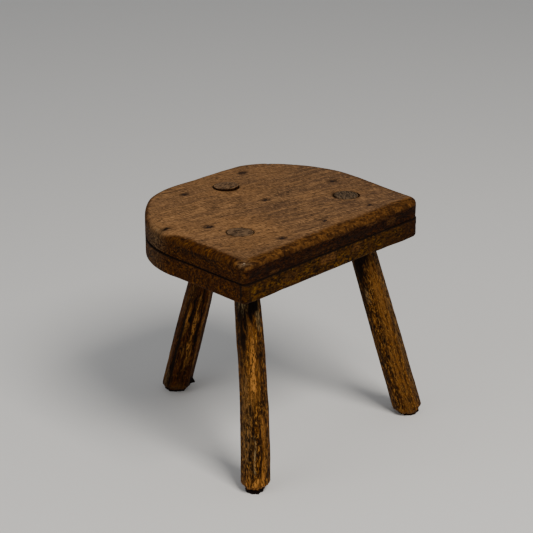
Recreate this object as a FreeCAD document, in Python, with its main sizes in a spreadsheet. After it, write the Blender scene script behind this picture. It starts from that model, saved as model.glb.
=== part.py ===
import FreeCAD, Part
import os
import re
from math import copysign, radians

import Sketcher
from FreeCAD import Vector

# Three-legged milking stool. Two D-shaped boards, one on the other, are nailed together to make the seat,
# and three shaved legs splay outwards from it. Each leg's upper end is a round tenon that goes through both
# boards. The floor is Z = 0. The origin is on the floor, in the middle of the stool's footprint. The seat's
# flat edge faces -Y and its rounded edge faces +Y. All sizes are in millimetres.

# Driving dimensions: alias, value, meaning. Places on the seat are measured from the middle of its outline.
DIMENSIONS = [
    ("seat_height", 265.0, "floor to the top of the seat"),
    ("seat_centre_x", -13.5, "middle of the seat's outline, from the footprint's middle"),
    ("seat_centre_y", -21.6, "middle of the seat's outline, from the footprint's middle"),
    ("seat_width", 259.5, "side to side, just behind the flat edge"),
    ("seat_depth", 211.6, "flat edge to the far side of the rounded edge"),
    ("right_side_angle", 86.4, "from the flat edge to the right side, which is a little out of square"),
    ("rounded_left_corner", 108.5, "radius of the rounded edge's left corner"),
    ("rounded_right_corner", 99.0, "radius of the rounded edge's right corner"),
    ("flat_left_corner", 5.0, "radius of the flat edge's left corner"),
    ("flat_right_corner", 10.0, "radius of the flat edge's right corner"),
    ("upper_thickness", 22.5, "upper board"),
    ("lower_thickness", 20.5, "lower board"),
    ("top_rounding", 5.0, "worn edge round the top of the seat"),
    ("underside_rounding", 2.5, "edge round the underside of the seat"),
    ("seam_easing", 0.8, "chamfer on each board's edge where the boards meet"),
    ("bore_diameter", 28.0, "auger hole for each leg, through both boards"),
    ("tenon_gap", 0.1, "radial gap round a tenon in its hole"),
    ("paring", 0.6, "how much smaller the radius is where a tenon stands out of the seat"),
    ("shoulder_length", 14.0, "taper from a leg's neck up to its tenon"),
    ("swell_height", 60.0, "from the floor up to the thickest place on a leg, along the leg"),
    ("foot_chamfer_height", 9.0, "worn end of each leg, along the leg"),
    ("foot_chamfer_width", 5.0, "worn end of each leg, across the leg"),
    ("end_allowance", 12.0, "waste beyond each end of a leg, sawn off at the floor and at the seat"),
    ("nail_head_length", 6.4, "along the seat's width"),
    ("nail_head_width", 4.6, "along the seat's depth"),
    ("nail_head_thickness", 1.5, "height of the head"),
    ("nail_sink", 0.5, "the head's top below the top of the seat"),
    ("nail_shank_length", 34.0, "below the head"),
    ("nail_shank_x", 3.6, "shank under the head, along the seat's width"),
    ("nail_shank_y", 3.0, "shank under the head, along the seat's depth"),
    ("nail_taper", 1.68, "slope of each side of the shank, in degrees"),
]

# Each leg: where its tenon's axis meets the top of the seat and the floor, from the middle of the seat's
# outline, how far the leg has bent away from that axis at the floor, its diameters at the neck and at the
# swell, and how far its end stands out of the seat. An end that stands out is pared so that it rises straight
# up from its hole.
LEG_FACTS = ("top_x", "top_y", "aim_x", "aim_y", "bend_x", "bend_y", "neck", "swell", "proud")
LEGS = {
    "front_left": (-73.1, -42.2, -92.1, -98.5, -8.5, 8.6, 27.0, 31.2, 0.0),
    "front_right": (81.0, -46.0, 142.4, -93.0, 0.0, 0.0, 29.4, 33.6, 0.0),
    "rear": (9.0, 63.1, -4.6, 137.3, 0.0, 0.0, 28.2, 33.8, 2.0),
}

# Each nail: its place from the middle of the seat's outline.
NAILS = {
    "front_left": (-55.7, -83.4),
    "front_middle": (9.0, -81.1),
    "front_right": (76.5, -83.0),
    "middle_left": (-85.9, -9.7),
    "centre": (10.6, 4.3),
    "middle_right": (103.5, -6.0),
    "rear_left": (-38.5, 77.8),
    "rear_right": (53.5, 82.6),
}


def make_sheet(doc):
    """The spreadsheet that every size and place below is bound to."""
    rows = list(DIMENSIONS)
    for leg, values in LEGS.items():
        rows += [(f"{leg}_{fact}", value, f"{leg} leg") for fact, value in zip(LEG_FACTS, values)]
    for nail, (x, y) in NAILS.items():
        rows += [(f"nail_{nail}_x", x, f"{nail} nail"), (f"nail_{nail}_y", y, f"{nail} nail")]
    sheet = doc.addObject("Spreadsheet::Sheet", "Dimensions")
    for line, (alias, value, meaning) in enumerate(rows, 1):
        sheet.set(f"A{line}", meaning)
        sheet.set(f"B{line}", str(value))
        sheet.setAlias(f"B{line}", alias)
    doc.recompute()


def size(formula):
    """Makes a formula's names refer to the sheet. A name just before a bracket is a function."""
    return re.sub(r"\b[a-z]\w*\b(?!\()", r"Dimensions.\g<0>", formula)


def bind(thing, **formulas):
    """Binds properties of an object to formulas in the sheet's cells."""
    for name, formula in formulas.items():
        thing.setExpression(name, size(formula))


def origin_plane(body, role):
    return next(f for f in body.Origin.OriginFeatures if f.Role == role)


def new_sketch(body, name, height="0", role="XY_Plane"):
    """An empty sketch on one of the body's own planes, raised to a height that a formula gives."""
    sketch = body.newObject("Sketcher::SketchObject", name)
    sketch.AttachmentSupport = [(origin_plane(body, role), "")]
    sketch.MapMode = "FlatFace"
    sketch.setExpression(".AttachmentOffset.Base.z", size(height))
    return sketch


def dimension(sketch, name, kind, *where, formula):
    """A named dimension of a sketch, bound to a formula. The last of where is its value until then."""
    index = sketch.addConstraint(Sketcher.Constraint(kind, *where))
    sketch.renameConstraint(index, name)
    sketch.setExpression(f"Constraints.{name}", size(formula))


def draw_seat_outline(sketch):
    """Four sides joined by tangent corner arcs: two small corners on the flat edge and two wide ones behind.

    It is drawn near its final size and place, so that the solver starts close to the bound dimensions.
    """
    half_width, half_depth, small, wide = 130.0, 106.0, 8.0, 100.0
    corners = [
        (-half_width, -half_depth, small, "flat_left_corner"),
        (half_width, -half_depth, small, "flat_right_corner"),
        (half_width, half_depth, wide, "rounded_right_corner"),
        (-half_width, half_depth, wide, "rounded_left_corner"),
    ]
    quarter = radians(90)
    ends = []
    for turn, (x, y, radius, _) in enumerate(corners, 2):
        centre = Vector(x - copysign(radius, x), y - copysign(radius, y), 0)
        circle = Part.Circle(centre, Vector(0, 0, 1), radius)
        sketch.addGeometry(Part.ArcOfCircle(circle, quarter * turn, quarter * (turn + 1)))
        ends.append((circle.value(quarter * turn), circle.value(quarter * (turn + 1))))
    for corner in range(4):
        following = (corner + 1) % 4
        side = sketch.addGeometry(Part.LineSegment(ends[corner][1], ends[following][0]))
        sketch.addConstraint(Sketcher.Constraint("Tangent", corner, 2, side, 1))
        sketch.addConstraint(Sketcher.Constraint("Tangent", side, 2, following, 1))
    flat, right, rounded, left = 4, 5, 6, 7
    sketch.addConstraint(Sketcher.Constraint("Horizontal", flat))
    sketch.addConstraint(Sketcher.Constraint("Horizontal", rounded))
    sketch.addConstraint(Sketcher.Constraint("Vertical", left))
    dimension(sketch, "right_side", "Angle", flat, 1, right, 1, quarter, formula="right_side_angle")
    for corner, (_, _, radius, formula) in enumerate(corners):
        dimension(sketch, formula, "Radius", corner, radius, formula=formula)
    for name, kind, side, place, formula in (
        ("flat", "DistanceY", flat, -half_depth, "seat_centre_y - seat_depth / 2"),
        ("rounded", "DistanceY", rounded, half_depth, "seat_centre_y + seat_depth / 2"),
        ("left", "DistanceX", left, -half_width, "seat_centre_x - seat_width / 2"),
        ("right", "DistanceX", right, half_width, "seat_centre_x + seat_width / 2"),
    ):
        dimension(sketch, name, kind, -1, 1, side, 1, place, formula=formula)


def draw_rectangle(sketch, name, across, along, x="0", y="0"):
    """A rectangle of size across by along about the point x, y. It is drawn about the size of a nail."""
    half_across, half_along = 2.0, 1.5
    points = [Vector(-half_across, -half_along, 0), Vector(half_across, -half_along, 0),
              Vector(half_across, half_along, 0), Vector(-half_across, half_along, 0)]
    first = sketch.GeometryCount
    for corner in range(4):
        sketch.addGeometry(Part.LineSegment(points[corner], points[(corner + 1) % 4]))
        sketch.addConstraint(Sketcher.Constraint("Vertical" if corner % 2 else "Horizontal", first + corner))
    for corner in range(4):
        joined = first + (corner + 1) % 4
        sketch.addConstraint(Sketcher.Constraint("Coincident", first + corner, 2, joined, 1))
    low_x, low_y = f"{x} - ({across}) / 2", f"{y} - ({along}) / 2"
    dimension(sketch, name + "_across", "DistanceX", first, 1, first, 2, 2 * half_across, formula=across)
    dimension(sketch, name + "_along", "DistanceY", first + 1, 1, first + 1, 2, 2 * half_along, formula=along)
    dimension(sketch, name + "_x", "DistanceX", -1, 1, first, 1, -half_across, formula=low_x)
    dimension(sketch, name + "_y", "DistanceY", -1, 1, first, 1, -half_along, formula=low_y)


def edges_at(feature, height):
    """Names of the edges of a feature that lie at one height."""
    tolerance = 0.001
    return [f"Edge{i}" for i, e in enumerate(feature.Shape.Edges, 1)
            if max(abs(e.BoundBox.ZMin - height), abs(e.BoundBox.ZMax - height)) < tolerance]


def ease_edges(body, name, base, height, easing):
    """A fillet or chamfer on the whole outline at one height. The easing is its kind and its size."""
    kind, amount = easing
    feature = body.newObject(kind, name)
    feature.Base = (base, edges_at(base, height))
    bind(feature, **{"Radius" if kind.endswith("Fillet") else "Size": amount})
    body.Document.recompute()
    return feature


def tenon_axis(leg):
    """Formulas for a placement that stands on the floor with its Z axis along a leg's tenon."""
    lean_x, lean_y = f"({leg}_top_x - {leg}_aim_x)", f"({leg}_top_y - {leg}_aim_y)"
    return {
        "Base.x": f"seat_centre_x + {leg}_aim_x",
        "Base.y": f"seat_centre_y + {leg}_aim_y",
        "Rotation.Axis.x": f"0 - {lean_y}",
        "Rotation.Axis.y": lean_x,
        "Rotation.Axis.z": "0",
        "Rotation.Angle": f"atan2({lean(leg)}; seat_height)",
    }


def lean(leg):
    """Formula for how far a leg's tenon axis moves across between the floor and the top of the seat."""
    return f"sqrt(pow({leg}_top_x - {leg}_aim_x; 2) + pow({leg}_top_y - {leg}_aim_y; 2))"


def axis_length(leg):
    """Formula for the length of a leg's tenon axis, from the floor to the top of the seat."""
    return f"sqrt(pow({lean(leg)}; 2) + pow(seat_height; 2))"


def bore_for_legs(body):
    """The three slanting auger holes."""
    for leg in LEGS:
        bore = body.newObject("PartDesign::SubtractiveCylinder", f"{body.Name}_bore_{leg}")
        bore.AttachmentSupport = [(origin_plane(body, "XY_Plane"), "")]
        bore.MapMode = "FlatFace"
        for path, formula in tenon_axis(leg).items():
            bore.setExpression(".AttachmentOffset." + path, size(formula))
        bind(bore, Radius="bore_diameter / 2", Height=f"{axis_length(leg)} + end_allowance")
        body.Document.recompute()


def pocket_for_nails(body, name, height, across, along, depth, taper="0"):
    """One pocket per nail, all from one sketch, going down from a height."""
    sketch = new_sketch(body, name + "_sketch", height)
    for nail in NAILS:
        draw_rectangle(sketch, nail, across, along,
                       f"seat_centre_x + nail_{nail}_x", f"seat_centre_y + nail_{nail}_y")
    pocket = body.newObject("PartDesign::Pocket", name)
    pocket.Profile = sketch
    pocket.Type = "Length"
    bind(pocket, Length=depth, TaperAngle=taper)
    body.Document.recompute()


def make_board(doc, name, underside, thickness, top_easing, bottom_easing):
    """A D-shaped board with eased edges and the holes for the legs."""
    body = doc.addObject("PartDesign::Body", name)
    outline = new_sketch(body, name + "_outline", underside)
    draw_seat_outline(outline)
    pad = body.newObject("PartDesign::Pad", name + "_pad")
    pad.Profile = outline
    bind(pad, Length=thickness)
    doc.recompute()
    box = pad.Shape.BoundBox
    eased = ease_edges(body, name + "_top_edge", pad, box.ZMax, top_easing)
    ease_edges(body, name + "_bottom_edge", eased, box.ZMin, bottom_easing)
    bore_for_legs(body)
    return body


UPPER_UNDERSIDE = "(seat_height - upper_thickness)"
LOWER_UNDERSIDE = "(seat_height - upper_thickness - lower_thickness)"
HEAD_DEPTH = "(nail_sink + nail_head_thickness)"
FILLET, CHAMFER = "PartDesign::Fillet", "PartDesign::Chamfer"


def make_upper_board(doc):
    """The board that is sat on. The nail heads lie in it, and the shanks go through it."""
    body = make_board(doc, "upper_seat_board", UPPER_UNDERSIDE, "upper_thickness",
                      (FILLET, "top_rounding"), (CHAMFER, "seam_easing"))
    pocket_for_nails(body, "nail_head_recesses", "seat_height",
                     "nail_head_length", "nail_head_width", HEAD_DEPTH)
    pocket_for_nails(body, "upper_shank_holes", f"seat_height - {HEAD_DEPTH}",
                     "nail_shank_x", "nail_shank_y", f"upper_thickness - {HEAD_DEPTH}", "0 - nail_taper")
    return body


def make_lower_board(doc):
    """The board underneath, which the nails end in."""
    body = make_board(doc, "lower_seat_board", LOWER_UNDERSIDE, "lower_thickness",
                      (CHAMFER, "seam_easing"), (FILLET, "underside_rounding"))
    below_head = f"(upper_thickness - {HEAD_DEPTH})"
    narrowing = f"2 * {below_head} * tan(nail_taper)"
    pocket_for_nails(body, "lower_shank_holes", UPPER_UNDERSIDE,
                     f"nail_shank_x - {narrowing}", f"nail_shank_y - {narrowing}",
                     f"nail_shank_length - {below_head}", "0 - nail_taper")
    return body


def make_nail(doc, nail):
    """A square-cut nail: a flat head and a shank that tapers on all sides. Z = 0 is the head's top."""
    body = doc.addObject("PartDesign::Body", "nail_" + nail)
    for part, height, across, along, length, taper in (
        ("head", "0", "nail_head_length", "nail_head_width", "nail_head_thickness", "0"),
        ("shank", "0 - nail_head_thickness", "nail_shank_x", "nail_shank_y", "nail_shank_length",
         "0 - nail_taper"),
    ):
        sketch = new_sketch(body, f"nail_{nail}_{part}_sketch", height)
        draw_rectangle(sketch, part, across, along)
        pad = body.newObject("PartDesign::Pad", f"nail_{nail}_{part}")
        pad.Profile = sketch
        pad.Reversed = True
        bind(pad, Length=length, TaperAngle=taper)
    for path, formula in (
        ("x", f"seat_centre_x + nail_{nail}_x"),
        ("y", f"seat_centre_y + nail_{nail}_y"),
        ("z", "seat_height - nail_sink"),
    ):
        body.setExpression(".Placement.Base." + path, size(formula))
    return body


TENON_RADIUS = "(bore_diameter / 2 - tenon_gap)"


def space_for_leg(doc, leg):
    """What the saw leaves of a leg: all that lies between the floor and the seat's top, and any proud end."""
    between = doc.addObject("Part::Box", f"leg_{leg}_saw_cuts")
    bind(between, Length="2 * seat_width", Width="2 * seat_width", Height="seat_height")
    for axis in ("x", "y"):
        between.setExpression(f".Placement.Base.{axis}", size("0 - seat_width"))
    if LEGS[leg][LEG_FACTS.index("proud")] == 0:
        return between
    end = doc.addObject("Part::Cylinder", f"leg_{leg}_proud_end")
    bind(end, Radius=f"{TENON_RADIUS} - paring", Height=f"{leg}_proud")
    for axis, formula in (("x", f"seat_centre_x + {leg}_top_x"), ("y", f"seat_centre_y + {leg}_top_y"),
                          ("z", "seat_height")):
        end.setExpression(f".Placement.Base.{axis}", size(formula))
    space = doc.addObject("Part::Fuse", f"leg_{leg}_space")
    space.Base = between
    space.Tool = end
    return space


def make_leg(doc, leg):
    """A shaved round leg, thickest near its foot, and its tenon, sawn off at the floor and at the seat."""
    blank = doc.addObject("PartDesign::Body", f"leg_{leg}_blank")
    full = f"({leg}_swell / 2)"
    tip = f"({full} - foot_chamfer_width)"
    under_seat = f"({axis_length(leg)} * {LOWER_UNDERSIDE} / seat_height)"
    shoulder = f"({under_seat} - bore_diameter / 2 * {lean(leg)} / seat_height)"
    neck_height = f"({shoulder} - shoulder_length)"
    # The sections up the leg: a name, its height along the tenon's axis and its radius.
    sections = [
        ("waste", "0 - end_allowance", f"{tip} - end_allowance * foot_chamfer_width / foot_chamfer_height"),
        ("tip", "0", tip),
        ("foot", "foot_chamfer_height", full),
        ("swell", "swell_height", full),
        ("middle", f"(swell_height + {neck_height}) / 2", f"({full} + {leg}_neck / 2) / 2"),
        ("neck", neck_height, f"{leg}_neck / 2"),
        ("shoulder", shoulder, TENON_RADIUS),
    ]
    start, radius_before = Vector(1, 1, 0), 10.0
    sketches = []
    for name, height, radius in sections:
        sketch = new_sketch(blank, f"leg_{leg}_{name}", height)
        sketch.addGeometry(Part.Circle(start, Vector(0, 0, 1), radius_before))
        away = f"pow(1 - ({height}) / {shoulder}; 2)"
        dimension(sketch, "radius", "Radius", 0, radius_before, formula=radius)
        dimension(sketch, "x", "DistanceX", -1, 1, 0, 3, start.x, formula=f"{leg}_bend_x * {away}")
        dimension(sketch, "y", "DistanceY", -1, 1, 0, 3, start.y, formula=f"{leg}_bend_y * {away}")
        sketches.append(sketch)
    doc.recompute()
    shaved = blank.newObject("PartDesign::AdditiveLoft", f"leg_{leg}_shaved")
    shaved.Profile = sketches[0]
    shaved.Sections = sketches[1:]
    shaved.Ruled = True
    doc.recompute()
    end = blank.newObject("PartDesign::AdditiveCylinder", f"leg_{leg}_tenon")
    end.AttachmentSupport = [(origin_plane(blank, "XY_Plane"), "")]
    end.MapMode = "FlatFace"
    end.setExpression(".AttachmentOffset.Base.z", size(shoulder))
    bind(end, Radius=TENON_RADIUS, Height=f"{axis_length(leg)} + end_allowance - {shoulder}")
    for path, formula in tenon_axis(leg).items():
        blank.setExpression(".Placement." + path, size(formula))
    sawn = doc.addObject("Part::Common", f"leg_{leg}")
    sawn.Base = blank
    sawn.Tool = space_for_leg(doc, leg)
    return sawn


def check(doc, pieces):
    """Stops if any object of the document failed, or any piece isn't one valid closed solid."""
    failed = [o.Name for o in doc.Objects if {"Invalid", "Error"} & set(o.State)]
    if failed:
        raise SystemExit(f"failed objects: {failed}")
    for piece in pieces:
        shape = piece.Shape
        if shape.isNull() or not shape.isValid() or len(shape.Solids) != 1:
            raise SystemExit(f"{piece.Label} isn't one valid solid")


def main():
    doc = FreeCAD.newDocument("milking_stool")
    make_sheet(doc)
    pieces = [make_upper_board(doc), make_lower_board(doc)]
    pieces += [make_leg(doc, leg) for leg in LEGS]
    pieces += [make_nail(doc, nail) for nail in NAILS]
    doc.recompute()
    check(doc, pieces)
    os.makedirs("parts", exist_ok=True)
    whole = FreeCAD.BoundBox()
    for piece in pieces:
        piece.Label = piece.Name
        piece.Shape.exportStep(f"parts/{piece.Label}.step")
        whole.add(piece.Shape.BoundBox)
        print(f"{piece.Label}: {piece.Shape.Volume / 1000:.2f} cm3")
    print(f"box X {whole.XMin:.2f} {whole.XMax:.2f}  Y {whole.YMin:.2f} {whole.YMax:.2f}  "
          f"Z {whole.ZMin:.2f} {whole.ZMax:.2f}")


main()
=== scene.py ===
import itertools
from dataclasses import dataclass
from math import cos, pi, radians, sin, tau

import bmesh
import bpy
import numpy as np
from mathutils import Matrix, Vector
from mathutils.geometry import delaunay_2d_cdt
from mathutils.kdtree import KDTree


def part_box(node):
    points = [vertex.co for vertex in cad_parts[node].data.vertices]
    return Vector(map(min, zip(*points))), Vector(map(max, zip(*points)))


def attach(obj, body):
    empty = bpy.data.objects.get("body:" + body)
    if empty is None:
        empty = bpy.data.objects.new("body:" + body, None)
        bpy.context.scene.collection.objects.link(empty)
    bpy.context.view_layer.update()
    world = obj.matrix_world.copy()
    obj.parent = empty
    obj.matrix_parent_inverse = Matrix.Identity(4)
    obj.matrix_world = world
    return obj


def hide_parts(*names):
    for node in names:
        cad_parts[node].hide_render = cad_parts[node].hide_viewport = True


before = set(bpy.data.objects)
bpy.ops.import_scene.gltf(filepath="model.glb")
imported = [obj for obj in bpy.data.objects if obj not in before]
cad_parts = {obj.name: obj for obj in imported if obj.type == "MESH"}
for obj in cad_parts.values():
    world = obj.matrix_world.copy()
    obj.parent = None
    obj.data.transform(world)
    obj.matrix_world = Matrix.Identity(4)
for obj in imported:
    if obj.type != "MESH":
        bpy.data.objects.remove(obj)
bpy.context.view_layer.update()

# The looks of a milking stool: two worn seat boards, three shaved legs and eight hand-made nails, in metres.
# Every piece is built round its CAD node and carries attributes that its material reads. "grain" is a place
# in the wood, with X along the grain. The others are shares from 0 to 1:
#   all wood: "dirt_and_shade" is black grime and painted shade, "bare" is wood laid bare by wear,
#       "film_and_highlight"
#     is grey or green bloom, and on the seat's front corner a painted highlight.
#   boards: "edge" runs from the top of the seat to its side, "left" is the left side, "lower_side_light" is
#       painted
#     light on part of the lower board's flat side, "rust" is the stain round the nails.
#   legs: "end" is end grain, "shade" is how pale that is, "stain" is dark stained wood.

MM = 0.001
BOARDS = ("upper_seat_board", "lower_seat_board")
LEGS = ("leg_front_left", "leg_front_right", "leg_rear")
NAILS = sorted(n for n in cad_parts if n.startswith("nail_"))

# The seat's outline: the radius of each corner, and how far its right side is out of square.
FLAT_LEFT, FLAT_RIGHT, ROUNDED_RIGHT, ROUNDED_LEFT = 5 * MM, 10 * MM, 99 * MM, 108.5 * MM
RIGHT_SIDE_ANGLE = radians(86.4)
BORE_RADIUS = 14 * MM
# How far the right end of each board stands out past its square-sawn shape.
UPPER_OVERHANG, LOWER_OVERHANG = 0.7 * MM, 1.8 * MM
# Where the hand-sawn outline swells or sinks: the place, the reach along the edge and the height, in mm.
SWELLINGS = [((121, -30), 75, 3.3), ((64, 76), 21, 4.2), ((-50, 82), 25, 3.4), ((-82, 73), 18, 1.9),
             ((-115, 48), 20, -0.7), ((116, -118), 20, 0.3)]
LOWER_SWELLINGS = [((-141, 0), 34, 1.2), ((90, -127), 24, 1.0)]
# How far in from the rim a swelling and an overhang still move the wood.
SWELL_DEPTH, OVERHANG_DEPTH = 14 * MM, 8 * MM
GRAIN_ANGLE = radians(-12)
# How finely the meshes are cut: the outline, the points round a hole, and the patches round the nails.
OUTLINE_SPACING = 1.15 * MM
HOLE_POINTS = 120
FINE_REACH, FINE_SPACING = 6 * MM, 0.6 * MM


# ---- numbers ----

TABLE_SIZE = 4096
TABLE = np.random.default_rng(7).uniform(-1, 1, TABLE_SIZE)
PRIMES = np.array([73856093, 19349663, 83492791])


def noise(points, size, seed=0, octaves=1):
    """Smooth random values from about -1 to 1 at places in space. size is a bump's length along each axis."""
    place = np.atleast_2d(points) / (np.ones(3) * size) + 19.7 * (seed + 1)
    total, share = np.zeros(len(place)), 1.0
    for _ in range(octaves):
        cell = np.floor(place).astype(np.int64)
        part = place - cell
        part = part * part * (3 - 2 * part)
        for corner in itertools.product((0, 1), repeat=3):
            key = ((cell + corner) * PRIMES).sum(1) & (TABLE_SIZE - 1)
            total += share * TABLE[key] * np.where(corner, part, 1 - part).prod(1)
        place, share = place * 2 + 5.3, share / 2
    return total


def ragged(points, reach, size, seed, octaves=1):
    """The points, each moved by up to about reach, so that what is painted by place gets an uneven rim."""
    return points + reach * np.column_stack([noise(points, size, seed + k, octaves) for k in range(3)])


def smooth(value, low, high):
    """0 below low, 1 above high, and a soft step between them."""
    t = np.clip((value - low) / (high - low), 0, 1)
    return t * t * (3 - 2 * t)


def turned_by(angle, facing):
    """How far an angle is from a facing, from -pi to pi."""
    return (angle - facing + pi) % tau - pi


def rotated(x, y, angle):
    """Lengths along and across an angle in plan."""
    return x * cos(angle) + y * sin(angle), y * cos(angle) - x * sin(angle)


def bump(points, centre, sizes, angle=0.0):
    """1 at centre, falling smoothly to 0 a few sizes off. The sizes are along and across an angle in plan."""
    along, across = rotated(points[:, 0] - centre[0], points[:, 1] - centre[1], angle)
    return np.exp(-(along / sizes[0]) ** 2 - (across / sizes[1]) ** 2)


# ---- frame ----

def heights_of(node):
    """The heights of a CAD node's underside and top."""
    return [corner.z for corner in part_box(node)]


def section(node, height):
    """The points where a CAD node's edges cross a height."""
    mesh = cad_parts[node].data
    points = np.array([v.co for v in mesh.vertices])
    ends = np.array([e.vertices for e in mesh.edges])
    low, high = points[ends[:, 0]], points[ends[:, 1]]
    crosses = (low[:, 2] - height) * (high[:, 2] - height) < 0
    low, high = low[crosses], high[crosses]
    share = ((height - low[:, 2]) / (high[:, 2] - low[:, 2]))[:, None]
    return (low + share * (high - low))[:, :2]


def middle(points):
    """The middle of the points' box."""
    return (points.min(0) + points.max(0)) / 2


# How much narrower a hole is along one facing, as the auger cut it out of true.
HOLE_SQUASH = {"leg_front_left": 0.16, "leg_front_right": 0.06, "leg_rear": 0.0}
SQUASH_FACING = radians(-135)


class Axis:
    """The middle line and radius of a CAD leg: a bent shaft below the seat and a straight tenon in it."""

    def __init__(self, node):
        self.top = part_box(node)[1].z
        self.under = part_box("lower_seat_board")[0].z
        tenon = [self.under + 8 * MM, self.top - 4 * MM]
        low, high = (middle(section(node, h)) for h in tenon)
        self.lean = (high - low) / (tenon[1] - tenon[0])
        self.tenon_start = low - self.lean * tenon[0]
        self.along = self.lean / np.linalg.norm(self.lean)
        self.across = np.array([-self.along[1], self.along[0]])
        self.stretch = float(np.hypot(1, np.linalg.norm(self.lean)))
        self.squash = HOLE_SQUASH[node]
        heights = np.linspace(12 * MM, self.under - 22 * MM, 20)
        cuts = [section(node, h) for h in heights]
        fit = np.polynomial.Polynomial.fit
        self.line = [fit(heights, [middle(c)[k] for c in cuts], 3) for k in (0, 1)]
        self.radii = fit(heights, [np.ptp(c @ self.across) / 2 for c in cuts], 2)

    def centre(self, z):
        """The middle of the section at each height."""
        z = np.asarray(z)
        shaft = np.stack([line(z) for line in self.line], -1)
        share = smooth(z, self.under - 20 * MM, self.under)[..., None]
        return shaft + share * (self.hole(z) - shaft)

    def azimuth(self, angle):
        """The facing, from +X, of an angle that is measured from the way the leg leans."""
        facing = np.outer(np.cos(angle), self.along) + np.outer(np.sin(angle), self.across)
        return np.arctan2(facing[:, 1], facing[:, 0])

    def oval(self, angle):
        """The shape of the worn hole, as a share of the auger's radius."""
        return 1 - self.squash * np.cos(self.azimuth(angle) - SQUASH_FACING) ** 2

    def hole(self, z):
        """The middle of the auger hole at each height."""
        return self.tenon_start + self.lean * np.asarray(z)[..., None]


AXES = {leg: Axis(leg) for leg in LEGS}


# ---- meshes ----

def linked(name, data):
    """A new object of the scene."""
    made = bpy.data.objects.new(name, data)
    bpy.context.scene.collection.objects.link(made)
    return made


def make_object(name, points, faces, material, attributes):
    """A smooth-shaded object with an attribute for each name and array."""
    mesh = bpy.data.meshes.new(name)
    mesh.from_pydata([tuple(p) for p in points], [], faces)
    for attribute, values in attributes.items():
        kind, field = ("FLOAT_VECTOR", "vector") if values.ndim == 2 else ("FLOAT", "value")
        made = mesh.attributes.new(attribute, kind, "POINT")
        made.data.foreach_set(field, values.astype(np.float32).ravel())
    mesh.materials.append(material)
    mesh.validate()
    mesh.shade_smooth()
    return linked(name, mesh)


def strip(rows):
    """Quads between rings of points, each ring the same length. Returns points and faces."""
    count = len(rows[0])
    faces = []
    for r in range(len(rows) - 1):
        for k in range(count):
            n = (k + 1) % count
            faces.append((r * count + k, r * count + n, (r + 1) * count + n, (r + 1) * count + k))
    return np.concatenate(rows), faces


def grid_points(low, high, spacing):
    """Staggered points that fill a rectangle."""
    rows = np.arange(low[1], high[1], spacing * 0.87)
    points = []
    for r, y in enumerate(rows):
        x = np.arange(low[0] + (r % 2) * spacing / 2, high[0], spacing)
        points.append(np.stack([x, np.full(len(x), y)], 1))
    return np.concatenate(points)


# ---- seat shape ----

class Outline:
    """The seat's outline, as the belt round four circles, sampled evenly, with its inward normals."""

    def __init__(self, spacing):
        low, high = (np.array(c[:2]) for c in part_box("upper_seat_board"))
        normal = np.array([sin(RIGHT_SIDE_ANGLE), -cos(RIGHT_SIDE_ANGLE)])
        back_right = high - ROUNDED_RIGHT
        front_y = low[1] + FLAT_RIGHT
        front_x = (back_right @ normal + ROUNDED_RIGHT - FLAT_RIGHT - front_y * normal[1]) / normal[0]
        right = RIGHT_SIDE_ANGLE - pi / 2
        corners = [
            ((front_x, front_y), FLAT_RIGHT, -pi / 2, right),
            (back_right, ROUNDED_RIGHT, right, pi / 2),
            ((low[0] + ROUNDED_LEFT, high[1] - ROUNDED_LEFT), ROUNDED_LEFT, pi / 2, pi),
            (low + FLAT_LEFT, FLAT_LEFT, pi, pi * 1.5),
        ]
        # Each row is a place on the belt and its inward normal. The first row comes again at the end.
        rows = []
        for centre, radius, start, end in corners:
            angles = np.linspace(start, end, 400)
            outward = np.stack([np.cos(angles), np.sin(angles)], 1)
            rows.append(np.hstack([np.array(centre) + radius * outward, -outward]))
        rows = np.concatenate([*rows, rows[0][:1]])
        steps = np.linalg.norm(np.diff(rows[:, :2], axis=0), axis=1)
        distance = np.concatenate([[0], np.cumsum(steps)])
        self.length = distance[-1]
        count = int(self.length / spacing)
        at = np.arange(count) * self.length / count
        even = np.stack([np.interp(at, distance, column) for column in rows.T], 1)
        self.points, inward = even[:, :2], even[:, 2:]
        self.inward = inward / np.linalg.norm(inward, axis=1)[:, None]
        self.tree = KDTree(count)
        for k, (x, y) in enumerate(self.points):
            self.tree.insert((x, y, 0), k)
        self.tree.balance()

    def ring(self, inset, z):
        """The outline at a height, moved in by an inset."""
        points = self.points + inset * self.inward
        return np.column_stack([points, np.full(len(points), z)])

    def nearest(self, points):
        """For each point, how far inside the outline it is and which sample of the outline is nearest."""
        index = np.array([self.tree.find((x, y, 0))[1] for x, y in points[:, :2]])
        inside = ((points[:, :2] - self.points[index]) * self.inward[index]).sum(1)
        return inside, index


def hole_ring(axis, z):
    """The rim of a slanting auger hole at a height."""
    angles = np.linspace(0, tau, HOLE_POINTS, endpoint=False)
    radius = (BORE_RADIUS * axis.oval(angles))[:, None]
    offset = np.outer(np.cos(angles) * axis.stretch, axis.along) + np.outer(np.sin(angles), axis.across)
    heights = np.full(HOLE_POINTS, z)
    return np.column_stack([axis.hole(heights) + radius * offset, heights])


def inside_ring(points, ring, margin):
    """Which points are inside a convex ring that runs anticlockwise, by more than a margin."""
    following = np.roll(ring, -1, 0) - ring
    length = np.linalg.norm(following, axis=1)
    solid = length > 1e-9
    side, start = following[solid] / length[solid, None], ring[solid]
    left = np.stack([-side[:, 1], side[:, 0]], 1)
    depth = np.full(len(points), np.inf)
    for normal, corner in zip(left, start):
        np.minimum(depth, (points - corner) @ normal, out=depth)
    return depth > margin


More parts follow.
